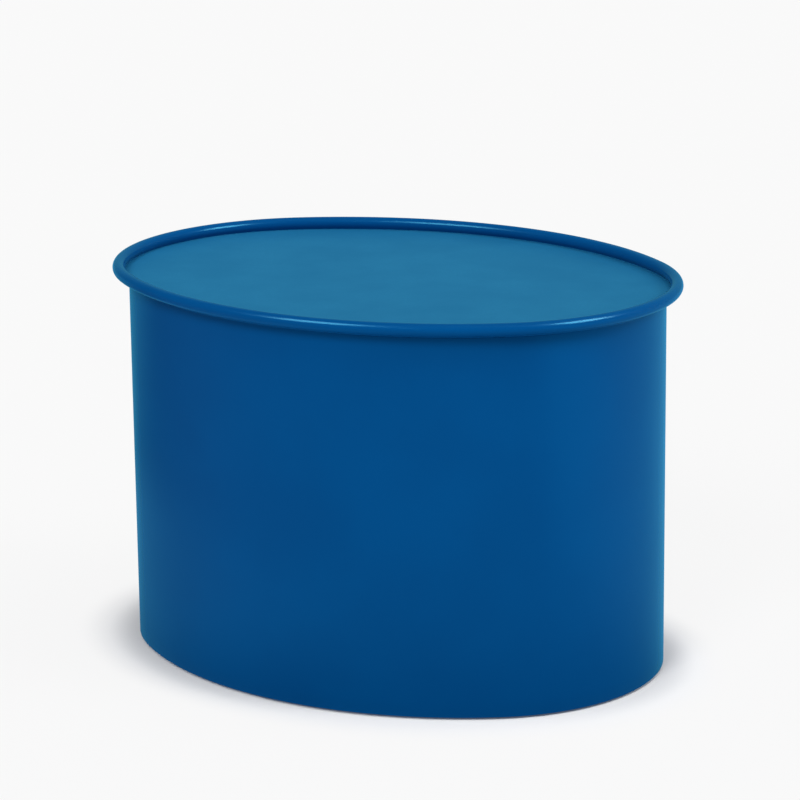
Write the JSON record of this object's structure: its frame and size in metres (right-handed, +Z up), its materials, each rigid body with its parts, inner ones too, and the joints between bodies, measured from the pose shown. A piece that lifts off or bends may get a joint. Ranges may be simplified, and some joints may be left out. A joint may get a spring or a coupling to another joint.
{
  "type": "side table",
  "caption": "Oval drum side table of painted sheet steel, with a lift-off tray top whose edge is curled into a round rim.",
  "frame": {"origin": "on the ground, below the middle of the oval", "axes": "+Z up, +X along the oval towards its right-hand end, -Y towards the front"},
  "size_m": [0.5498, 0.425, 0.36],
  "materials": {
    "blue_steel": "satin powder coat",
    "silicone": "frosted",
    "nylon": "matte"
  },
  "bodies": {
    "drum": {"side_wall": "blue_steel", "top_hoop": "blue_steel", "floor_panel": "blue_steel", "foot_glide_1": "nylon", "foot_glide_2": "nylon", "foot_glide_3": "nylon", "foot_glide_4": "nylon", "foot_glide_5": "nylon", "foot_glide_6": "nylon", "seat_bumper_1": "silicone", "seat_bumper_2": "silicone", "seat_bumper_3": "silicone", "seat_bumper_4": "silicone", "seat_bumper_5": "silicone", "seat_bumper_6": "silicone", "seat_bumper_7": "silicone", "seat_bumper_8": "silicone"},
    "tray": {"tray_top": "blue_steel", "locating_tab_left": "blue_steel", "locating_tab_right": "blue_steel", "locating_tab_front": "blue_steel", "locating_tab_back": "blue_steel", "tray_rib_left": "blue_steel", "tray_rib_right": "blue_steel"}
  },
  "joints": [
    {"name": "tray_lift", "type": "slide", "parent": "drum", "child": "tray", "axis": [0, 0, 1], "range_m": [0, 0.2]}
  ]
}
